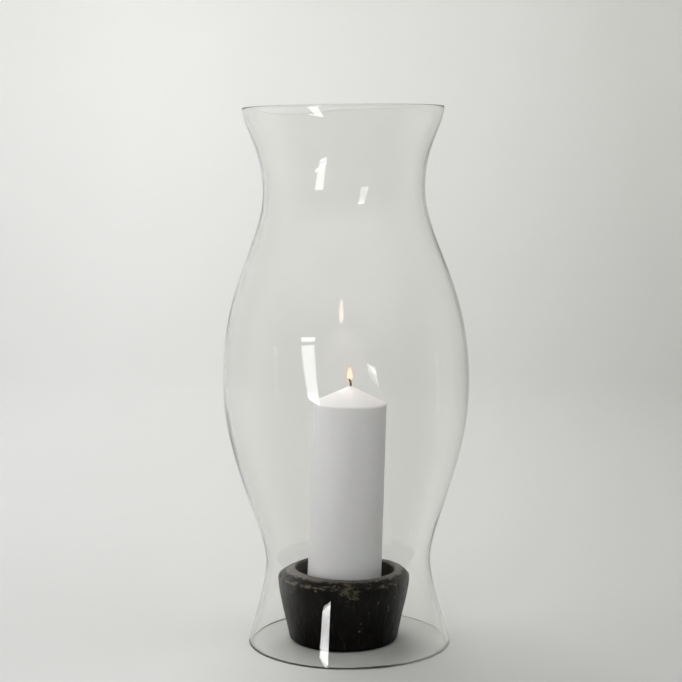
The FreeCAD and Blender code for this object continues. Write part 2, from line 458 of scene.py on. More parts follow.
CANDLE_LEAN = math.atan2(lift_axes["candle_lift"].x, lift_axes["candle_lift"].z)
SEAT = CUP_PLACE + Vector((0, 0, CUP_FLOOR))
side_height = CUP_HEIGHT - CUP_RIM_DROP
rim_width = CUP_CREASE_RADIUS - CUP_CREST_RADIUS
rim_slope = CUP_CREASE_DROP / rim_width
crease_run = CUP_CREASE_ROUND * QUARTER_ROUND
base_pull = CUP_BASE_ROUND * QUARTER_ROUND
floor_pull = CUP_FLOOR_ROUND * QUARTER_ROUND
mouth_pull = CUP_MOUTH_ROUND * QUARTER_ROUND
taper = (CUP_RADIUS - CUP_BASE_RADIUS) / side_height
base_reach = BASE_UP * side_height
bore_depth = CUP_HEIGHT - CUP_FLOOR

cup = turn("wooden_cup", [
    knot(0, 0),
    knot(CUP_BASE_RADIUS - CUP_BASE_ROUND, 0, after=(base_pull, 0)),
    knot(CUP_BASE_RADIUS + taper * CUP_BASE_ROUND, CUP_BASE_ROUND,
         before=(-taper * base_pull, -base_pull), after=(taper * base_reach, base_reach)),
    knot(CUP_RADIUS, side_height, before=(0, -SIDE_DOWN * side_height), after=(0, crease_run)),
    knot(CUP_CREASE_RADIUS, CUP_HEIGHT - CUP_CREASE_DROP,
         before=(crease_run * CREASE_LEAN, -crease_run), after=(-crease_run, crease_run * rim_slope)),
    knot(CUP_CREST_RADIUS, CUP_HEIGHT, before=(rim_width * CREST_OUT, 0)),
], CUP_STEPS, CUP_SPAN_POINTS)
set_down(cup, CUP_PLACE, 0)
bore = turn("cup_bore", [
    knot(0, 0),
    knot(CUP_BORE_RADIUS - CUP_FLOOR_ROUND, 0, after=(floor_pull, 0)),
    knot(CUP_BORE_RADIUS, CUP_FLOOR_ROUND, before=(0, -floor_pull)),
    knot(CUP_BORE_RADIUS, bore_depth - CUP_MOUTH_ROUND, after=(0, mouth_pull)),
    knot(CUP_BORE_RADIUS + CUP_MOUTH_ROUND, bore_depth, before=(-mouth_pull, 0)),
], CUP_STEPS, CUP_SPAN_POINTS // 2)
set_down(bore, SEAT, CANDLE_LEAN)
take(cup)
bore.select_set(True)
bpy.ops.object.join()
bpy.ops.object.mode_set(mode="EDIT")
bpy.ops.mesh.select_mode(type="EDGE")
bpy.ops.mesh.select_all(action="DESELECT")
bpy.ops.mesh.select_non_manifold(extend=False, use_wire=False, use_boundary=True, use_multi_face=False,
                                 use_non_contiguous=False, use_verts=False)
bpy.ops.mesh.bridge_edge_loops()
bpy.ops.mesh.select_all(action="SELECT")
bpy.ops.mesh.normals_make_consistent(inside=False)
bpy.ops.object.mode_set(mode="OBJECT")
report(cup)

# %% [markdown]
# ## Wear on the cup
# The cup was roughed out by hand, so it is a little lumpy, and years of knocks have chipped the turn of
# its rim. The lumps are broad and shallow and the chips are small and sharp, so each gets its own
# noise, moved in along the surface normal. Chips keep to the outer rim, where a cup is knocked.

# %% Wear the cup
LUMP_SIZE = 0.045
LUMP_DEPTH = 0.0011
CHIP_SIZE = 0.0085
CHIP_DEPTH = 0.0040
CHIP_START = 0.20
CHIP_BAND = 0.009
TOOL_MARK_SIZE = 0.004
TOOL_MARK_STRETCH = 5
TOOL_MARK_DEPTH = 0.00022
CUP_SMOOTH_ANGLE = math.radians(60)

moves = []
for vertex in cup.data.vertices:
    place = vertex.co - CUP_PLACE
    outside = fade(place.xy.length, CUP_BORE_RADIUS, CUP_CREST_RADIUS)
    above_base = fade(place.z, 0, 2 * CUP_BASE_ROUND)
    near_crease = 1 - fade(abs(place.z - side_height), CHIP_BAND / 3, CHIP_BAND)
    lump = noise.noise(place / LUMP_SIZE) * LUMP_DEPTH
    along = Vector((place.x, place.y, place.z / TOOL_MARK_STRETCH))
    tool_mark = noise.noise(along / TOOL_MARK_SIZE) * TOOL_MARK_DEPTH
    bite = max(0.0, noise.noise(place / CHIP_SIZE) - CHIP_START)
    chip = bite * CHIP_DEPTH * near_crease / (1 - CHIP_START)
    moves.append(vertex.normal * (lump + tool_mark - chip) * outside * above_base)
for vertex, move in zip(cup.data.vertices, moves):
    vertex.co += move
take(cup)
bpy.ops.object.shade_smooth_by_angle(angle=CUP_SMOOTH_ANGLE)
print("largest move", round(max(move.length for move in moves) * 1000, 2), "mm")
report(cup)

# %% [markdown]
# ## The finish of the cup
# Old black milk paint on wood. It has sunk into the grain and been handled for years: near-black and
# satin on the side, rubbed grey and dusty on the rim, where the grey is also painted sheen, with brown
# and olive wood showing at the chips and pale specks where flakes came off. Noise at each of those
# sizes drives the colour, and the same noises roughen the surface.

# %% Lay the black paint
BLOTCH_MM = 22
GRAIN_MM = 2.6
GRAIN_STRETCH = 0.12
FLAKE_MM = 5

painted_wood = new_material("worn_black_painted_wood")
place = add(painted_wood, "ShaderNodeTexCoord")
centred = add(painted_wood, "ShaderNodeMapping", {
    "Vector": place.outputs["Object"], "Location": -CUP_PLACE,
})
blotch = add(painted_wood, "ShaderNodeTexNoise", {
    "Vector": centred.outputs["Vector"], "Scale": per_metre(BLOTCH_MM), "Detail": 4.0, "Roughness": 0.6,
})
upright = add(painted_wood, "ShaderNodeMapping", {
    "Vector": centred.outputs["Vector"], "Scale": (1.0, 1.0, GRAIN_STRETCH),
})
grain = add(painted_wood, "ShaderNodeTexNoise", {
    "Vector": upright.outputs["Vector"], "Scale": per_metre(GRAIN_MM), "Detail": 3.0, "Roughness": 0.65,
})
flake = add(painted_wood, "ShaderNodeTexNoise", {
    "Vector": centred.outputs["Vector"], "Scale": per_metre(FLAKE_MM), "Detail": 5.0, "Roughness": 0.7,
})
parts = add(painted_wood, "ShaderNodeSeparateXYZ", {"Vector": centred.outputs["Vector"]})

# Black paint, with a browner black where it has worn thin, and grey streaks along the grain
thin = add(painted_wood, "ShaderNodeMapRange", {
    "Value": blotch.outputs["Fac"], "From Min": 0.40, "From Max": 0.75,
})
paint = add(painted_wood, "ShaderNodeMix", {
    0: thin.outputs["Result"], 6: hex_color("#090808"), 7: hex_color("#120f0c"),
}, data_type="RGBA")
streak = add(painted_wood, "ShaderNodeMapRange", {
    "Value": grain.outputs["Fac"], "From Min": 0.54, "From Max": 0.82, "To Max": 0.6,
})
streaked = add(painted_wood, "ShaderNodeMix", {
    0: streak.outputs["Result"], 6: paint.outputs[2], 7: hex_color("#433d36"),
}, data_type="RGBA")
print("paint: blotches", BLOTCH_MM, "mm, grain", GRAIN_MM, "mm and flakes", FLAKE_MM, "mm apart")

# %% [markdown]
# Dust lies in the bore. The top of the rim is charcoal grey, partly where hands have rubbed it and
# partly painted sheen, more at the back and the sides than at the front. Distance from the axis and
# height say where, and a noise makes the lower edge of the grey ragged.

# %% Dust the bore, and rub and paint sheen on the rim
DUST_MOST = 0.8
RUB_AND_SHEEN_RAGGED = 0.006
RUB_AND_SHEEN_START = CUP_HEIGHT + 0.0012
RUB_AND_SHEEN_FULL = CUP_HEIGHT + 0.0026
FRONT_Y = -0.058
FRONT_END_Y = -0.030
FRONT_RUB_AND_SHEEN = 0.30

outwards = add(painted_wood, "ShaderNodeVectorMath", {
    0: centred.outputs["Vector"], 1: (1.0, 1.0, 0.0),
}, operation="MULTIPLY")
off_centre = add(painted_wood, "ShaderNodeVectorMath", {0: outwards.outputs["Vector"]}, operation="LENGTH")
in_bore = add(painted_wood, "ShaderNodeMapRange", {
    "Value": off_centre.outputs["Value"], "From Min": CUP_CREST_RADIUS, "From Max": CUP_BORE_RADIUS,
    "To Max": DUST_MOST,
})
dusty = add(painted_wood, "ShaderNodeMix", {
    0: in_bore.outputs["Result"], 6: streaked.outputs[2], 7: hex_color("#4a4540"),
}, data_type="RGBA")
# Painted sheen and wear: the grey on the rim top is partly rubbed paint and partly painted sheen, less at the
# front than at the back and the sides.
ragged = add(painted_wood, "ShaderNodeMath", {
    0: flake.outputs["Fac"], 1: RUB_AND_SHEEN_RAGGED, 2: parts.outputs["Z"],
}, operation="MULTIPLY_ADD")
rim_rub_and_sheen_zone = add(painted_wood, "ShaderNodeMapRange", {
    "Value": ragged.outputs["Value"], "From Min": RUB_AND_SHEEN_START, "From Max": RUB_AND_SHEEN_FULL,
}, interpolation_type="SMOOTHSTEP")
rub_and_sheen_color = add(painted_wood, "ShaderNodeMix", {
    0: flake.outputs["Fac"], 6: hex_color("#45423e"), 7: hex_color("#8c8780"),
}, data_type="RGBA")
rub_and_sheen_by_side = add(painted_wood, "ShaderNodeMapRange", {
    "Value": parts.outputs["Y"], "From Min": FRONT_Y, "From Max": FRONT_END_Y, "To Min": FRONT_RUB_AND_SHEEN,
})
rub_and_sheen_mask = add(painted_wood, "ShaderNodeMath", {
    0: rim_rub_and_sheen_zone.outputs["Result"], 1: rub_and_sheen_by_side.outputs["Result"],
}, operation="MULTIPLY")
rubbed_and_sheen = add(painted_wood, "ShaderNodeMix", {
    0: rub_and_sheen_mask.outputs["Value"], 6: dusty.outputs[2], 7: rub_and_sheen_color.outputs[2],
}, data_type="RGBA")
print("rub starts", round((CUP_HEIGHT - RUB_AND_SHEEN_START + RUB_AND_SHEEN_RAGGED) / MM, 1), "mm below the crest at the lowest")

# %% [markdown]
# Bare brown wood shows in a broken line along the edge of the rim. One hard knock at the front goes
# down to olive-brown wood with black pits left in it. Both have their place on the cup, and one noise
# breaks their edges: it is taken off the distance from the knock, which is why the two limits of the
# knock are below zero.

# %% Knock the rim
SCUFF_MM = 11
SCUFF_STRETCH = 3.0
SCUFF_HALF_WIDTH = 0.0018
KNOCK_PLACE = (0.0060, -0.0585, 0.0600)
KNOCK_RAGGED = 0.045
KNOCK_START = -0.0145
KNOCK_FULL = -0.0170

lengthwise = add(painted_wood, "ShaderNodeMapping", {
    "Vector": centred.outputs["Vector"], "Scale": (1.0, 1.0, SCUFF_STRETCH),
})
scuff = add(painted_wood, "ShaderNodeTexNoise", {
    "Vector": lengthwise.outputs["Vector"], "Scale": per_metre(SCUFF_MM), "Detail": 5.0, "Roughness": 0.7,
})
at_crease = add(painted_wood, "ShaderNodeMath", {
    0: parts.outputs["Z"], 1: CUP_HEIGHT - CUP_CREASE_DROP, 2: SCUFF_HALF_WIDTH,
}, operation="COMPARE")
scuffed = add(painted_wood, "ShaderNodeMapRange", {
    "Value": scuff.outputs["Fac"], "From Min": 0.52, "From Max": 0.62,
})
scuff_mask = add(painted_wood, "ShaderNodeMath", {
    0: at_crease.outputs["Value"], 1: scuffed.outputs["Result"],
}, operation="MULTIPLY")
worn = add(painted_wood, "ShaderNodeMix", {
    0: scuff_mask.outputs["Value"], 6: rubbed_and_sheen.outputs[2], 7: hex_color("#5a5449"),
}, data_type="RGBA")
knock_distance = add(painted_wood, "ShaderNodeVectorMath", {
    0: centred.outputs["Vector"], 1: KNOCK_PLACE,
}, operation="DISTANCE")
knock_edge = add(painted_wood, "ShaderNodeMath", {
    0: scuff.outputs["Fac"], 1: -KNOCK_RAGGED, 2: knock_distance.outputs["Value"],
}, operation="MULTIPLY_ADD")
knock_mask = add(painted_wood, "ShaderNodeMapRange", {
    "Value": knock_edge.outputs["Value"], "From Min": KNOCK_START, "From Max": KNOCK_FULL,
})
pitted = add(painted_wood, "ShaderNodeMapRange", {
    "Value": flake.outputs["Fac"], "From Min": 0.42, "From Max": 0.56,
})
knock_color = add(painted_wood, "ShaderNodeMix", {
    0: pitted.outputs["Result"], 6: hex_color("#14110c"), 7: hex_color("#55523f"),
}, data_type="RGBA")
knocked = add(painted_wood, "ShaderNodeMix", {
    0: knock_mask.outputs["Result"], 6: worn.outputs[2], 7: knock_color.outputs[2],
}, data_type="RGBA")
print("scuffs are", SCUFF_MM, "mm apart in a line", 2 * SCUFF_HALF_WIDTH / MM, "mm wide")

# %% [markdown]
# Pale specks are left where small flakes came off: a spot in some of the cells of a Voronoi pattern,
# which is how they come to lie apart from each other. Then the colour, the satin and the relief go into
# one shader.

# %% Speck and finish the paint
SPECK_MM = 8
SPECK_INNER = 0.08
SPECK_OUTER = 0.15
SPECK_CHANCE = 0.7
PORE_DEPTH = 0.0008

speck = add(painted_wood, "ShaderNodeTexVoronoi", {
    "Vector": centred.outputs["Vector"], "Scale": per_metre(SPECK_MM),
})
speck_spot = add(painted_wood, "ShaderNodeMapRange", {
    "Value": speck.outputs["Distance"], "From Min": SPECK_OUTER, "From Max": SPECK_INNER,
})
speck_chance = add(painted_wood, "ShaderNodeSeparateColor", {"Color": speck.outputs["Color"]})
speck_some = add(painted_wood, "ShaderNodeMath", {
    0: speck_chance.outputs["Red"], 1: SPECK_CHANCE,
}, operation="GREATER_THAN")
speck_mask = add(painted_wood, "ShaderNodeMath", {
    0: speck_spot.outputs["Result"], 1: speck_some.outputs["Value"],
}, operation="MULTIPLY")
specked = add(painted_wood, "ShaderNodeMix", {
    0: speck_mask.outputs["Value"], 6: knocked.outputs[2], 7: hex_color("#67634f"),
}, data_type="RGBA")

dull = add(painted_wood, "ShaderNodeMapRange", {
    "Value": flake.outputs["Fac"], "From Min": 0.3, "From Max": 0.7, "To Min": 0.34, "To Max": 0.52,
})
pores = add(painted_wood, "ShaderNodeMath", {
    0: flake.outputs["Fac"], 1: grain.outputs["Fac"],
}, operation="ADD")
relief = add(painted_wood, "ShaderNodeBump", {
    "Strength": 0.5, "Distance": PORE_DEPTH, "Height": pores.outputs["Value"],
})
body = add(painted_wood, "ShaderNodeBsdfPrincipled", {
    "Base Color": specked.outputs[2], "Roughness": dull.outputs["Result"], "IOR": 1.5,
    "Specular IOR Level": 0.14, "Normal": relief.outputs["Normal"],
})
add(painted_wood, "ShaderNodeOutputMaterial", {"Surface": body.outputs["BSDF"]})
dress(cup, painted_wood)
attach(cup, "holder")
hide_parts("candle_holder")

# %% [markdown]
# ## The candle
# A pillar of paraffin wax, pressed in a mould: almost straight, with a slight draft, a soft shoulder
# and a conical top that has begun to melt around the wick. It is turned from a few knots, like the cup,
# and a shallow cloud texture takes away the perfection of a computer's cylinder.

# %% Mould the candle
CANDLE_HEIGHT = 0.200
CANDLE_BASE_RADIUS = 0.0343
CANDLE_TOP_RADIUS = 0.0335
CANDLE_CONE_HEIGHT = 0.0154
CANDLE_SHOULDER_ROUND = 0.0030
CANDLE_BASE_ROUND = 0.001
MELT_RADIUS = 0.0045
MELT_DEPTH = 0.0007
WICK_RADIUS = 0.0011
CANDLE_STEPS = 160
CANDLE_SPAN_POINTS = 20
SAG_SIZE = 0.030
SAG_DEPTH = 0.00035
CANDLE_SMOOTH_ANGLE = math.radians(50)

shoulder_height = CANDLE_HEIGHT - CANDLE_CONE_HEIGHT
cone_slope = CANDLE_CONE_HEIGHT / CANDLE_TOP_RADIUS
shoulder_pull = CANDLE_SHOULDER_ROUND * QUARTER_ROUND
melt_edge_height = CANDLE_HEIGHT - cone_slope * MELT_RADIUS
candle = turn("wax_candle", [
    knot(0, 0),
    knot(CANDLE_BASE_RADIUS - CANDLE_BASE_ROUND, 0, after=(CANDLE_BASE_ROUND * QUARTER_ROUND, 0)),
    knot(CANDLE_BASE_RADIUS, CANDLE_BASE_ROUND, before=(0, -CANDLE_BASE_ROUND * QUARTER_ROUND)),
    knot(CANDLE_TOP_RADIUS, shoulder_height - CANDLE_SHOULDER_ROUND / 2, after=(0, shoulder_pull)),
    knot(CANDLE_TOP_RADIUS - CANDLE_SHOULDER_ROUND,
         shoulder_height + cone_slope * CANDLE_SHOULDER_ROUND,
         before=(shoulder_pull, -cone_slope * shoulder_pull)),
    knot(MELT_RADIUS, melt_edge_height, after=(-MELT_RADIUS / 3, cone_slope * MELT_RADIUS / 3)),
    knot(WICK_RADIUS, CANDLE_HEIGHT - MELT_DEPTH, before=(MELT_RADIUS / 3, 0)),
    knot(0, CANDLE_HEIGHT - MELT_DEPTH),
], CANDLE_STEPS, CANDLE_SPAN_POINTS)
sag = bpy.data.textures.new("wax_sag", "CLOUDS")
sag.noise_scale = SAG_SIZE
apply_modifier(candle, "DISPLACE", texture=sag, strength=SAG_DEPTH, mid_level=MIDDLE_GREY)
set_down(candle, SEAT, CANDLE_LEAN)
take(candle)
bpy.ops.object.shade_smooth_by_angle(angle=CANDLE_SMOOTH_ANGLE)
report(candle)

# %% [markdown]
# ## The finish of the wax
# White paraffin wax: cool white, satin from the mould, and translucent, so light goes a few millimetres
# in before it comes out again and the edges look soft. Subsurface scattering does that. Faint clouds in
# the wax vary the colour and the roughness, and a fine bump is the frost of cooled wax.

# %% White paraffin wax
CLOUD_MM = 26
FROST_MM = 1.4
FROST_HEIGHT = 0.0003
WAX_IOR = 1.44
LIGHT_REACH = 0.006

white_wax = new_material("white_paraffin_wax")
place = add(white_wax, "ShaderNodeTexCoord")
clouds = add(white_wax, "ShaderNodeTexNoise", {
    "Vector": place.outputs["Object"], "Scale": per_metre(CLOUD_MM), "Detail": 4.0,
})
frost = add(white_wax, "ShaderNodeTexNoise", {
    "Vector": place.outputs["Object"], "Scale": per_metre(FROST_MM), "Detail": 2.0,
})
tint = add(white_wax, "ShaderNodeMix", {
    0: clouds.outputs["Fac"], 6: hex_color("#e8e8eb"), 7: hex_color("#f1f1f3"),
}, data_type="RGBA")
satin = add(white_wax, "ShaderNodeMapRange", {
    "Value": clouds.outputs["Fac"], "From Min": 0.3, "From Max": 0.7, "To Min": 0.42, "To Max": 0.55,
})
skin = add(white_wax, "ShaderNodeBump", {
    "Strength": 0.08, "Distance": FROST_HEIGHT, "Height": frost.outputs["Fac"],
})
body = add(white_wax, "ShaderNodeBsdfPrincipled", {
    "Base Color": tint.outputs[2], "Roughness": satin.outputs["Result"], "IOR": WAX_IOR,
    "Subsurface Weight": 0.6, "Subsurface Radius": (1.0, 0.75, 0.6), "Subsurface Scale": LIGHT_REACH,
    "Normal": skin.outputs["Normal"],
})
add(white_wax, "ShaderNodeOutputMaterial", {"Surface": body.outputs["BSDF"]})
dress(candle, white_wax)
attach(candle, "candle")
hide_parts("candle")

# %% [markdown]
# ## The wick
# A braid of cotton that runs up through the wax and curls over where it burns. Its section has four
# lobes, one for each bundle of the braid, and turns as it rises. It is extruded ring by ring from one
# circle, as a rope maker lays it, and then curled along an arc by moving its points.

# %% Lay the wick
WICK_FOOT = 0.0003
WICK_STRAIGHT_ABOVE_WAX = 0.0008
WICK_CURL_RADIUS = 0.009
WICK_CURL = math.radians(40)
WICK_SIDES = 16
WICK_LOBES = 4
WICK_LOBE_DEPTH = 0.22
WICK_RINGS = 26
WICK_TWIST = math.radians(14)
WICK_TIP_RINGS = 3
WICK_TIP_TAPER = 0.82
WICK_RINGS_BELOW_WAX = 0.006
WICK_SMOOTH_ANGLE = math.radians(60)

curl_start = CANDLE_HEIGHT + WICK_STRAIGHT_ABOVE_WAX
hidden_top = CANDLE_HEIGHT - WICK_RINGS_BELOW_WAX
wick_top = curl_start + WICK_CURL * WICK_CURL_RADIUS
ring_step = (wick_top - hidden_top) / WICK_RINGS
clear_selection()
bpy.ops.mesh.primitive_circle_add(vertices=WICK_SIDES, radius=WICK_RADIUS, fill_type="NGON",
                                  location=(0, 0, WICK_FOOT))
wick = bpy.context.object
wick.name = "cotton_wick"
wick.data.name = "cotton_wick"
bpy.ops.object.transform_apply(location=True, rotation=True, scale=True)
for vertex in wick.data.vertices:
    bearing = math.atan2(vertex.co.y, vertex.co.x)
    lobe = 1 - WICK_LOBE_DEPTH * (0.5 - 0.5 * math.cos(WICK_LOBES * bearing))
    vertex.co.x *= lobe
    vertex.co.y *= lobe
bpy.ops.object.mode_set(mode="EDIT")
bpy.ops.mesh.select_all(action="SELECT")
bpy.ops.mesh.extrude_region_move(TRANSFORM_OT_translate={"value": (0, 0, hidden_top - WICK_FOOT)})
for ring in range(WICK_RINGS):
    bpy.ops.mesh.extrude_region_move(TRANSFORM_OT_translate={"value": (0, 0, ring_step)})
    bpy.ops.transform.rotate(value=WICK_TWIST, orient_axis="Z", center_override=(0, 0, 0))
    if ring >= WICK_RINGS - WICK_TIP_RINGS:
        bpy.ops.transform.resize(value=(WICK_TIP_TAPER, WICK_TIP_TAPER, 1), center_override=(0, 0, 0))
bpy.ops.mesh.select_all(action="SELECT")
bpy.ops.mesh.normals_make_consistent(inside=False)
bpy.ops.object.mode_set(mode="OBJECT")
for vertex in wick.data.vertices:
    if vertex.co.z > curl_start:
        turned_by = (vertex.co.z - curl_start) / WICK_CURL_RADIUS
        arm = WICK_CURL_RADIUS + vertex.co.x
        vertex.co.x = arm * math.cos(turned_by) - WICK_CURL_RADIUS
        vertex.co.z = curl_start + arm * math.sin(turned_by)
set_down(wick, SEAT, CANDLE_LEAN)
take(wick)
bpy.ops.object.shade_smooth_by_angle(angle=WICK_SMOOTH_ANGLE)
report(wick)

# %% [markdown]
# Waxed cotton is pale where it leaves the wax and burns to a dark brown char above. The height above
# the wax tells which is which, and a fine noise gives the threads.

# %% Charred cotton
THREAD_MM = 0.5
THREAD_HEIGHT = 0.0002
WICK_EXIT = SEAT + lift_axes["candle_lift"].normalized() * CANDLE_HEIGHT
CHAR_START = WICK_EXIT.z - 0.001
CHAR_FULL = WICK_EXIT.z + 0.0015

charred_cotton = new_material("charred_cotton_braid")
place = add(charred_cotton, "ShaderNodeTexCoord")
threads = add(charred_cotton, "ShaderNodeTexNoise", {
    "Vector": place.outputs["Object"], "Scale": per_metre(THREAD_MM), "Detail": 2.0,
})
parts = add(charred_cotton, "ShaderNodeSeparateXYZ", {"Vector": place.outputs["Object"]})
burnt = add(charred_cotton, "ShaderNodeMapRange", {
    "Value": parts.outputs["Z"], "From Min": CHAR_START, "From Max": CHAR_FULL,
}, interpolation_type="SMOOTHSTEP")
char = add(charred_cotton, "ShaderNodeMix", {
    0: threads.outputs["Fac"], 6: hex_color("#33231b"), 7: hex_color("#7a5848"),
}, data_type="RGBA")
color = add(charred_cotton, "ShaderNodeMix", {
    0: burnt.outputs["Result"], 6: hex_color("#cfc3ae"), 7: char.outputs[2],
}, data_type="RGBA")
fibres = add(charred_cotton, "ShaderNodeBump", {
    "Strength": 0.5, "Distance": THREAD_HEIGHT, "Height": threads.outputs["Fac"],
})
body = add(charred_cotton, "ShaderNodeBsdfPrincipled", {
    "Base Color": color.outputs[2], "Roughness": 0.9, "Normal": fibres.outputs["Normal"],
})
add(charred_cotton, "ShaderNodeOutputMaterial", {"Surface": body.outputs["BSDF"]})
dress(wick, charred_cotton)
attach(wick, "candle")
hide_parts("wick")

# %% [markdown]
# ## The flame
# Burning gas has no surface, but a small flame looks like a drop of light: white-yellow in the middle,
# peach and fading where it is thin. Three drops, one inside the other, give that: a bright heart, a
# warm mantle and a faint glow. Each one lets more of what is behind it through. A real flame is many
# times brighter than white, so it shows even in glass that mirrors little. A fourth drop is that gleam:
# only mirrored light shows it.

# %% Light the flame
FLAME_BASE = WICK_EXIT + Vector((-0.0008, 0.0020, 0.0016))
FLAME_HEIGHT = 0.0146
FLAME_RADIUS = 0.0029
FLAME_STEPS = 48
FLAME_SPAN_POINTS = 16
DROP_WIDEST = 0.42
DROP_DOWN = 0.22
DROP_UP = 0.28
DROP_ROUND = 0.55
DROP_TIP = 0.08
FADE_SHARE = 0.4


def make_drop(name, width, height, lift):
    """A drop of light, widest below the middle, with its foot on the wick."""
    radius = FLAME_RADIUS * width
    tall = FLAME_HEIGHT * height
    drop = turn(name, [
        knot(0, 0, after=(radius * DROP_ROUND, 0)),
        knot(radius, tall * DROP_WIDEST, before=(0, -tall * DROP_DOWN), after=(0, tall * DROP_UP)),
        knot(0, tall, before=(radius * DROP_ROUND, -tall * DROP_TIP)),
    ], FLAME_STEPS, FLAME_SPAN_POINTS)
    set_down(drop, FLAME_BASE + Vector((0, 0, lift)), 0)
    take(drop)
    bpy.ops.object.shade_smooth()
    drop.visible_shadow = False
    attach(drop, "candle")
    report(drop)
    return drop


def make_light(name, color, strength, cover, foot_cover):
    """Light of one colour that fades towards its foot."""
    fade_top = FLAME_BASE.z + FADE_SHARE * FLAME_HEIGHT
    light = new_material(name)
    place = add(light, "ShaderNodeTexCoord")
    parts = add(light, "ShaderNodeSeparateXYZ", {"Vector": place.outputs["Object"]})
    rise = add(light, "ShaderNodeMapRange", {
        "Value": parts.outputs["Z"], "From Min": FLAME_BASE.z, "From Max": fade_top,
        "To Min": foot_cover, "To Max": cover,
    }, interpolation_type="SMOOTHSTEP")
    body = add(light, "ShaderNodeBsdfPrincipled", {
        "Base Color": hex_color("#000000"), "Roughness": 1.0, "Specular IOR Level": 0.0,
        "Emission Color": hex_color(color), "Emission Strength": strength, "Alpha": rise.outputs["Result"],
    })
    add(light, "ShaderNodeOutputMaterial", {"Surface": body.outputs["BSDF"]})
    return light


heart = make_drop("flame_heart", width=0.82, height=0.86, lift=0.0018)
heart_light = make_light("heart_light", "#ffeed6", strength=1.3, cover=0.85, foot_cover=0.06)
heart.data.materials.append(heart_light)
mantle = make_drop("flame_mantle", width=1.12, height=1.00, lift=0.0010)
mantle_light = make_light("mantle_light", "#ffddc0", strength=1.15, cover=0.26, foot_cover=0.10)
mantle.data.materials.append(mantle_light)
glow = make_drop("flame_glow", width=2.1, height=1.28, lift=-0.0004)
glow_light = make_light("glow_light", "#ffcdb4", strength=1.1, cover=0.06, foot_cover=0.09)
glow.data.materials.append(glow_light)
gleam = make_drop("flame_gleam", width=0.70, height=0.90, lift=0.0014)
gleam_light = make_light("gleam_light", "#ffeccb", strength=10.0, cover=0.95, foot_cover=0.30)
gleam.data.materials.append(gleam_light)
heart.visible_glossy = False
mantle.visible_glossy = False
gleam.visible_camera = False
gleam.visible_transmission = False
gleam.visible_diffuse = False

# %% [markdown]
# ## The wick sustainer
# The pressed tab in the base of the candle keeps its solid, which is right as it is. It is tinned
# steel: grey, with the fine scratches of the press.

# %% Tinned steel
SCRATCH_MM = 0.4
SCRATCH_STRETCH = 0.06

tinned_steel = new_material("tinned_steel")
place = add(tinned_steel, "ShaderNodeTexCoord")
stretched = add(tinned_steel, "ShaderNodeMapping", {
    "Vector": place.outputs["Object"], "Scale": (1.0, SCRATCH_STRETCH, 1.0),
})
scratch = add(tinned_steel, "ShaderNodeTexNoise", {
    "Vector": stretched.outputs["Vector"], "Scale": per_metre(SCRATCH_MM), "Detail": 2.0,
})
color = add(tinned_steel, "ShaderNodeMix", {
    0: scratch.outputs["Fac"], 6: hex_color("#a9a8a4"), 7: hex_color("#c6c5c0"),
}, data_type="RGBA")
shine = add(tinned_steel, "ShaderNodeMapRange", {
    "Value": scratch.outputs["Fac"], "To Min": 0.28, "To Max": 0.45,
})
body = add(tinned_steel, "ShaderNodeBsdfPrincipled", {
    "Base Color": color.outputs[2], "Metallic": 1.0, "Roughness": shine.outputs["Result"],
})
add(tinned_steel, "ShaderNodeOutputMaterial", {"Surface": body.outputs["BSDF"]})
sustainer = frame["nodes"]["wick_sustainer"]
sustainer.data.materials.clear()
sustainer.data.materials.append(tinned_steel)
print(sustainer.name, "wears", tinned_steel.name)

# %% [markdown]
# ## The studio
# The lantern stands on a pale sweep: a floor that curves up into a wall all around, so that no corner
# shows. It is turned like the other pieces, and lies a hair below the table's height, so that nothing
# flickers.

# %% Build the sweep
SWEEP_RADIUS = 2.6
SWEEP_CURVE = 0.9
SWEEP_HEIGHT = 3.0
SWEEP_STEPS = 128
SWEEP_SPAN_POINTS = 12
FLOOR_GAP = 0.0003

sweep = turn("studio_sweep", [
    knot(0, -FLOOR_GAP),
    knot(SWEEP_RADIUS - SWEEP_CURVE, -FLOOR_GAP, after=(SWEEP_CURVE * QUARTER_ROUND, 0)),
    knot(SWEEP_RADIUS, SWEEP_CURVE, before=(0, -SWEEP_CURVE * QUARTER_ROUND)),
    knot(SWEEP_RADIUS, SWEEP_HEIGHT),
], SWEEP_STEPS, SWEEP_SPAN_POINTS)
take(sweep)
bpy.ops.object.shade_smooth()
report(sweep)

# %% [markdown]
# Light falls off across a studio, and the tint of the paper paints that light and shade in. It is
# lighter on the left than on the right, on the wall than on the floor, and farther back than close to
# the viewer. It darkens a little at the margins, and a soft pool of painted shadow lies in front of the
# lantern. Each is a gain, and all of them are multiplied.

# %% Tint the paper with painted light and shade
LEFT_X = -0.5
RIGHT_X = 0.7
WALL_HEIGHT = 0.8
FLOOR_GAIN = 0.714
WALL_GAIN = 1.12
NEAR_Y = -0.25
FAR_Y = 0.4
NEAR_GAIN = 0.97
FAR_GAIN = 1.03
SHADOW_POOL_PLACE = (0.075, -0.19, 0.0)
SHADOW_POOL_INNER = 0.06
SHADOW_POOL_OUTER = 0.26
SHADOW_POOL_GAIN = 0.83
OFF_SHADOW_POOL_GAIN = 1.01
VIEWER_DISTANCE = 1.477
MARGIN_START = 0.09
MARGIN_END = 0.21
MARGIN_GAIN = 0.92

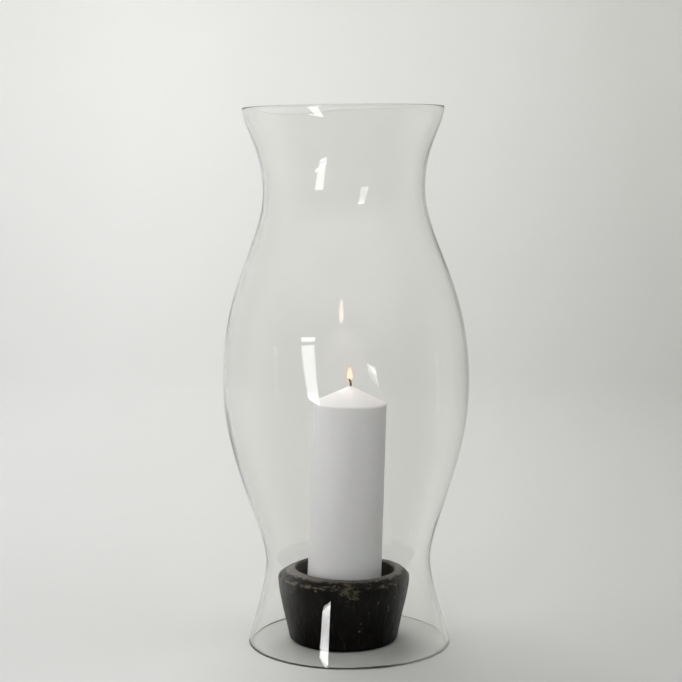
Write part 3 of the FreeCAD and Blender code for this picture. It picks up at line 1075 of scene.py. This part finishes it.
paper = new_material("matt_studio_paper")
rays = add(paper, "ShaderNodeLightPath")
place = add(paper, "ShaderNodeTexCoord")
parts = add(paper, "ShaderNodeSeparateXYZ", {"Vector": place.outputs["Object"]})
# Painted light and shade: these gains make the paper lighter or darker where more or less light would fall.
across = add(paper, "ShaderNodeMapRange", {
    "Value": parts.outputs["X"], "From Min": LEFT_X, "From Max": RIGHT_X,
})
higher = add(paper, "ShaderNodeMapRange", {
    "Value": parts.outputs["Z"], "From Max": WALL_HEIGHT, "To Min": FLOOR_GAIN, "To Max": WALL_GAIN,
})
farther = add(paper, "ShaderNodeMapRange", {
    "Value": parts.outputs["Y"], "From Min": NEAR_Y, "From Max": FAR_Y,
    "To Min": NEAR_GAIN, "To Max": FAR_GAIN,
})
# Painted shadow: a darker pool on the floor in front of the lantern.
from_shadow_pool = add(paper, "ShaderNodeVectorMath", {
    0: place.outputs["Object"], 1: SHADOW_POOL_PLACE,
}, operation="DISTANCE")
painted_shadow_pool = add(paper, "ShaderNodeMapRange", {
    "Value": from_shadow_pool.outputs["Value"], "From Min": SHADOW_POOL_INNER, "From Max": SHADOW_POOL_OUTER,
    "To Min": SHADOW_POOL_GAIN, "To Max": OFF_SHADOW_POOL_GAIN,
}, interpolation_type="SMOOTHSTEP")
from_viewer = add(paper, "ShaderNodeMath", {
    0: parts.outputs["Y"], 1: VIEWER_DISTANCE,
}, operation="ADD")
bearing = add(paper, "ShaderNodeMath", {
    0: parts.outputs["X"], 1: from_viewer.outputs["Value"],
}, operation="DIVIDE")
off_axis = add(paper, "ShaderNodeMath", {0: bearing.outputs["Value"]}, operation="ABSOLUTE")
margin = add(paper, "ShaderNodeMapRange", {
    "Value": off_axis.outputs["Value"], "From Min": MARGIN_START, "From Max": MARGIN_END,
    "To Min": 1.0, "To Max": MARGIN_GAIN,
})
pale = add(paper, "ShaderNodeMix", {
    0: across.outputs["Result"], 6: hex_color("#f0f0ef"), 7: hex_color("#d0d0cd"),
}, data_type="RGBA")
gain = farther
for other in (higher, painted_shadow_pool, margin):
    gain = add(paper, "ShaderNodeMath", {
        0: gain.outputs[0], 1: other.outputs["Result"],
    }, operation="MULTIPLY")
lit = add(paper, "ShaderNodeVectorMath", {
    0: pale.outputs[2], "Scale": gain.outputs["Value"],
}, operation="SCALE")
print("the paper's gain, from the floor by the viewer to the far wall:",
      round(FLOOR_GAIN * NEAR_GAIN, 2), "to", round(WALL_GAIN * FAR_GAIN, 2))

# %% [markdown]
# In a real studio the viewer's side is dark, and clear glass mirrors that darkness. Here the paper is
# pale all around, so that every view has a pale ground. Only light that the glass has mirrored meets
# another paper: pale behind the lantern, greyer at the sides and dark in front, but not high up, and
# not for light that has been through the back of the glass as well.

# %% Darken the mirrored room
SIDE_START = 0.8
SIDE_FULL = 0.2
DARK_START = 0.15
DARK_FULL = -0.65
HIGH_START = 0.7
HIGH_FULL = 1.9
BACK_RAY_DEPTH = 3.5

flat = add(paper, "ShaderNodeVectorMath", {
    0: place.outputs["Object"], 1: (1.0, 1.0, 0.0),
}, operation="MULTIPLY")
reach = add(paper, "ShaderNodeVectorMath", {0: flat.outputs["Vector"]}, operation="LENGTH")
behind = add(paper, "ShaderNodeMath", {
    0: parts.outputs["Y"], 1: reach.outputs["Value"],
}, operation="DIVIDE")
aside = add(paper, "ShaderNodeMapRange", {
    "Value": behind.outputs["Value"], "From Min": SIDE_START, "From Max": SIDE_FULL,
}, interpolation_type="SMOOTHSTEP")
in_front = add(paper, "ShaderNodeMapRange", {
    "Value": behind.outputs["Value"], "From Min": DARK_START, "From Max": DARK_FULL,
}, interpolation_type="SMOOTHSTEP")
side_color = add(paper, "ShaderNodeMix", {
    0: across.outputs["Result"], 6: hex_color("#bcbcba"), 7: hex_color("#d8d8d4"),
}, data_type="RGBA")
side_wall = add(paper, "ShaderNodeMix", {
    0: aside.outputs["Result"], 6: lit.outputs["Vector"], 7: side_color.outputs[2],
}, data_type="RGBA")
from_back = add(paper, "ShaderNodeMath", {
    0: rays.outputs["Ray Depth"], 1: BACK_RAY_DEPTH,
}, operation="GREATER_THAN")
high_up = add(paper, "ShaderNodeMapRange", {
    "Value": parts.outputs["Z"], "From Min": HIGH_START, "From Max": HIGH_FULL,
})
lighter = add(paper, "ShaderNodeMath", {
    0: from_back.outputs["Value"], 1: high_up.outputs["Result"],
}, operation="MAXIMUM")
front_color = add(paper, "ShaderNodeMix", {
    0: lighter.outputs["Value"], 6: hex_color("#1e1e1d"), 7: hex_color("#d6d6d2"),
}, data_type="RGBA")
mirrored = add(paper, "ShaderNodeMix", {
    0: in_front.outputs["Result"], 6: side_wall.outputs[2], 7: front_color.outputs[2],
}, data_type="RGBA")
in_mirror = add(paper, "ShaderNodeMath", {
    0: rays.outputs["Glossy Depth"], 1: 0.5,
}, operation="GREATER_THAN")
seen = add(paper, "ShaderNodeMix", {
    0: in_mirror.outputs["Value"], 6: lit.outputs["Vector"], 7: mirrored.outputs[2],
}, data_type="RGBA")
body = add(paper, "ShaderNodeBsdfPrincipled", {
    "Base Color": seen.outputs[2], "Roughness": 0.95, "Specular IOR Level": 0.1,
})
add(paper, "ShaderNodeOutputMaterial", {"Surface": body.outputs["BSDF"]})
sweep.data.materials.append(paper)
print(sweep.name, "wears", paper.name, "made of", len(paper.node_tree.nodes), "nodes")

# %% [markdown]
# ## The light
# A large soft lamp above and behind, a little to the left, throws the shadow towards the viewer. A
# ceiling of light and weak lamps at the sides fill that shadow, one washes the wall, and a small one at
# the front left lights the candle's face. All of them are hidden from the glass, which would mirror
# every one. The renderer is told not to look for lamps by chance as well, because paths through the
# clear wall would then be counted too low.

# %% Hang the lamps
TABLE_MIDDLE = (0, 0.01, 0)
CUP_MIDDLE = (0, 0, 0.15)
CANDLE_MIDDLE = (0, 0, 0.2)
WALL_AIM = (-0.8, 2.6, 1.4)


def hang_lamp(name, place, aim, width, height, watts):
    """A flat soft lamp that faces a point and shows in no mirror."""
    lamp = bpy.data.lights.new(name, "AREA")
    lamp.shape = "RECTANGLE"
    lamp.size = width
    lamp.size_y = height
    lamp.energy = watts
    lamp.cycles.use_multiple_importance_sampling = False
    holder = bpy.data.objects.new(name, lamp)
    bpy.context.scene.collection.objects.link(holder)
    facing = (Vector(aim) - Vector(place)).to_track_quat("-Z", "Y").to_matrix().to_4x4()
    holder.matrix_world = Matrix.Translation(place) @ facing
    holder.visible_camera = False
    holder.visible_glossy = False
    holder.visible_transmission = False
    print(name, watts, "W")


hang_lamp("ceiling", place=(0, 0, 3.6), aim=TABLE_MIDDLE, width=5.0, height=5.0, watts=39.0)
hang_lamp("overhead_softbox", place=(-0.65, 2.2, 3.2), aim=CUP_MIDDLE, width=2.4, height=1.8, watts=104.0)
hang_lamp("right_fill", place=(1.5, -0.2, 1.1), aim=CANDLE_MIDDLE, width=1.2, height=1.2, watts=4.5)
hang_lamp("left_fill", place=(-1.6, 0.1, 1.1), aim=CANDLE_MIDDLE, width=1.2, height=1.2, watts=8.0)
hang_lamp("wall_wash", place=(-0.8, 1.0, 2.6), aim=WALL_AIM, width=1.5, height=0.6, watts=2.5)
hang_lamp("front_fill", place=(-0.36, -0.62, 0.28), aim=CANDLE_MIDDLE, width=0.16, height=0.25, watts=0.70)

# %% [markdown]
# The white strips on the glass are mirror images of light. A leaning panel at the front left draws most
# of them, and a narrow bar close by the short one above the longest strip. A lamp is always a
# rectangle, so these two are glowing meshes: a plane whose four corners are pulled to their places.

# %% Hang the panels
PANEL_Y = -0.6
PANEL_FOOT_TOP = 0.152
PANEL_FOOT_FADE = 0.03
BAR_Y = -0.3


def hang_panel(name, depth, low_left, low_right, high_left, high_right, foot_strength, strength):
    """A glowing panel at one depth, often brighter at its foot. A corner is a place across and a height."""
    clear_selection()
    bpy.ops.mesh.primitive_plane_add(size=1)
    panel = bpy.context.object
    panel.name = name
    for vertex, (across, height) in zip(panel.data.vertices, (low_left, low_right, high_left, high_right)):
        vertex.co = (across, depth, height)
    glow = new_material(name + "_glow")
    place = add(glow, "ShaderNodeTexCoord")
    parts = add(glow, "ShaderNodeSeparateXYZ", {"Vector": place.outputs["Object"]})
    level = add(glow, "ShaderNodeMapRange", {
        "Value": parts.outputs["Z"], "From Min": PANEL_FOOT_TOP, "From Max": PANEL_FOOT_TOP + PANEL_FOOT_FADE,
        "To Min": foot_strength, "To Max": strength,
    })
    light = add(glow, "ShaderNodeEmission", {"Strength": level.outputs["Result"]})
    add(glow, "ShaderNodeOutputMaterial", {"Surface": light.outputs["Emission"]})
    panel.data.materials.append(glow)
    panel.visible_camera = False
    panel.visible_shadow = False
    report(panel)
    return panel


hang_panel("front_panel", PANEL_Y, low_left=(-0.376, 0.150), low_right=(-0.247, 0.130),
           high_left=(-0.505, 0.402), high_right=(-0.316, 0.397), foot_strength=10.0, strength=4.0)
near_bar = hang_panel("near_bar", BAR_Y, low_left=(-0.222, 0.343), low_right=(-0.136, 0.3385),
                      high_left=(-0.2255, 0.3555), high_right=(-0.137, 0.3495),
                      foot_strength=9.0, strength=9.0)
near_bar.visible_diffuse = False
near_bar.visible_transmission = False

# %% [markdown]
# Above the sweep is an open sky. Seen straight or through glass it is pale, and it sheds little light
# on the things below, which the lamps do. The flame sheds a breath of warm light on the top of the
# candle, from a small lamp that moves with it.

# %% Open the sky and light the wax
SKY_SEEN = 0.75
SKY_SHED = 0.05
FLAME_WATTS = 0.010
FLAME_LAMP_SIZE = 0.003
FLAME_LAMP_RISE = 0.012

world = bpy.data.worlds.new("studio_sky")
world.use_nodes = True
bpy.context.scene.world = world
world.node_tree.nodes.clear()
rays = add(world, "ShaderNodeLightPath")
level = add(world, "ShaderNodeMapRange", {
    "Value": rays.outputs["Diffuse Depth"], "To Min": SKY_SEEN, "To Max": SKY_SHED,
})
sky = add(world, "ShaderNodeBackground", {
    "Color": hex_color("#ffffff"), "Strength": level.outputs["Result"],
})
add(world, "ShaderNodeOutputWorld", {"Surface": sky.outputs["Background"]})

flame_lamp = bpy.data.lights.new("flame_lamp", "POINT")
flame_lamp.energy = FLAME_WATTS
flame_lamp.shadow_soft_size = FLAME_LAMP_SIZE
flame_lamp.color = hex_color("#ffdcc4")[:3]
flame_lamp_holder = bpy.data.objects.new("flame_lamp", flame_lamp)
bpy.context.scene.collection.objects.link(flame_lamp_holder)
flame_lamp_holder.location = FLAME_BASE + Vector((0, 0, FLAME_LAMP_RISE))
flame_lamp_holder.parent = heart
flame_lamp_holder.visible_camera = False
flame_lamp_holder.visible_glossy = False
flame_lamp_holder.visible_transmission = False
print("flame lamp", FLAME_WATTS, "W at", tuple(round(v, 4) for v in flame_lamp_holder.location))

# %% [markdown]
# ## The camera
# The picture was taken from a little above, with a long lens. The height, distance and tilt come from
# how round the foot and the rim of the glass look, and the lens from how tall the glass is in the
# picture.

# %% Set up the camera
IMAGE_SIDE_PIXELS = 682
FOCAL_PIXELS = 1630
SENSOR_WIDTH_MM = 36
CAMERA_PLACE = (-0.0047, -VIEWER_DISTANCE, 0.446)
CAMERA_TILT = math.radians(6.46)

camera_data = bpy.data.cameras.new("camera")
camera_data.sensor_width = SENSOR_WIDTH_MM
camera_data.lens = SENSOR_WIDTH_MM * FOCAL_PIXELS / IMAGE_SIDE_PIXELS
camera = bpy.data.objects.new("camera", camera_data)
bpy.context.scene.collection.objects.link(camera)
camera.location = CAMERA_PLACE
camera.rotation_euler = (math.pi / 2 - CAMERA_TILT, 0, 0)
bpy.context.scene.camera = camera
bpy.context.scene.view_settings.view_transform = "Standard"
print("lens", round(camera_data.lens, 1), "mm, camera at", CAMERA_PLACE)
